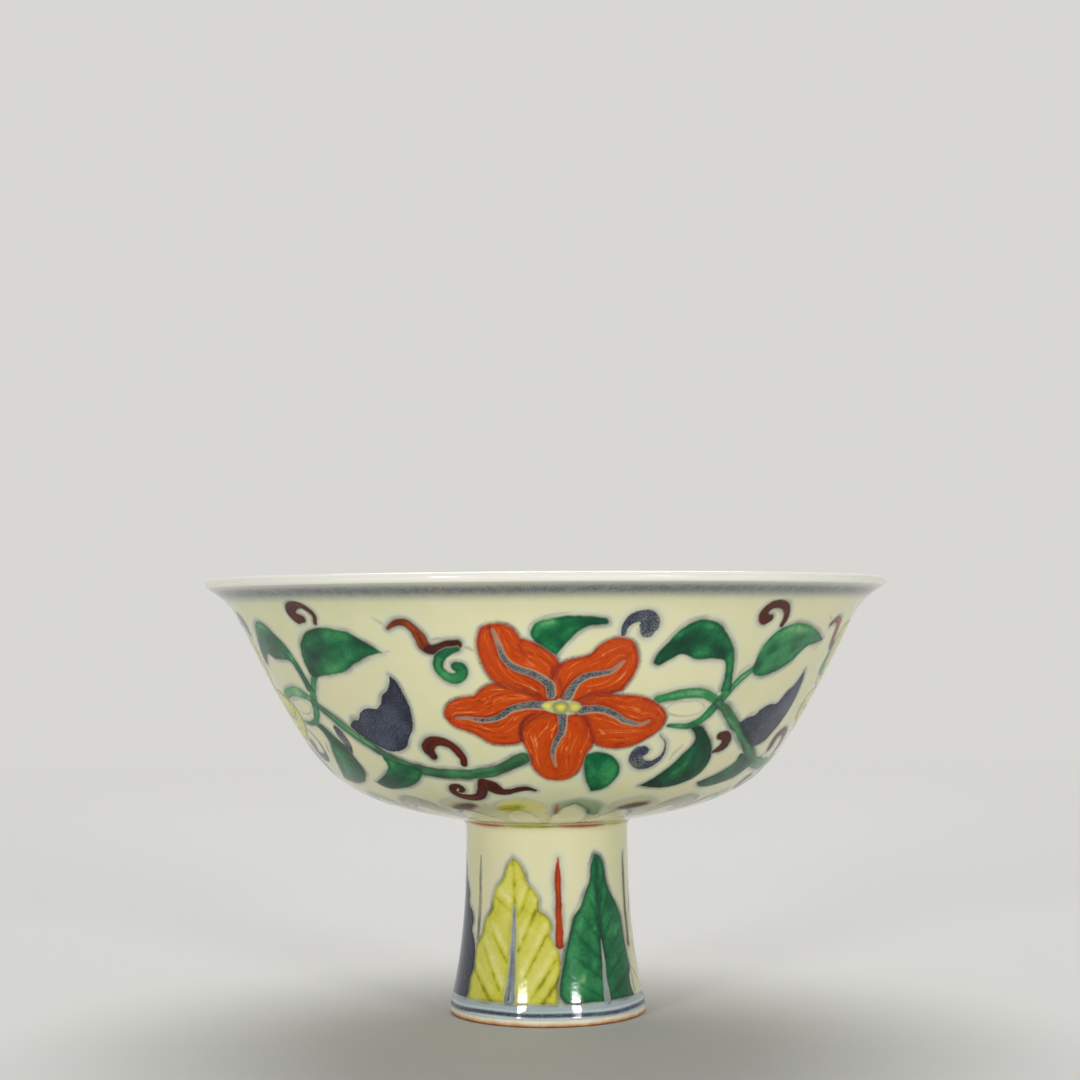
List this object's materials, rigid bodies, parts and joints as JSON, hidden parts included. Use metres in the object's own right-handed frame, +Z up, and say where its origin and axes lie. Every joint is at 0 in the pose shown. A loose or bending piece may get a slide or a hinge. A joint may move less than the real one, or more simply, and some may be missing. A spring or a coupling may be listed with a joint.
{
  "type": "stem bowl",
  "caption": "Footed porcelain bowl with a flared rim on a hollow flaring stem, glazed and painted with a flower scroll and leaves.",
  "frame": {"origin": "centre of the foot's standing plane, on the axis of the stem and bowl", "axes": "+Z up along the axis of revolution, from the foot to the rim; +Y points away from the picture's camera and +X to its right"},
  "size_m": [0.16, 0.16, 0.1015],
  "materials": {
    "porcelain": "bare fired porcelain, matt, flushed orange at the foot edge",
    "luting_slip": "fired slip, matt, covered by glaze",
    "glaze": "glossy clear glaze over a warm white body, with cobalt drawn under it and enamels painted over it",
    "bore_glaze": "glossy clear glaze, thin, plain"
  },
  "bodies": {
    "root": {"bowl_body": "porcelain", "stem_body": "porcelain", "luting_slip": "luting_slip", "glaze_coat": "glaze", "stem_bore_glaze": "bore_glaze"}
  },
  "joints": []
}
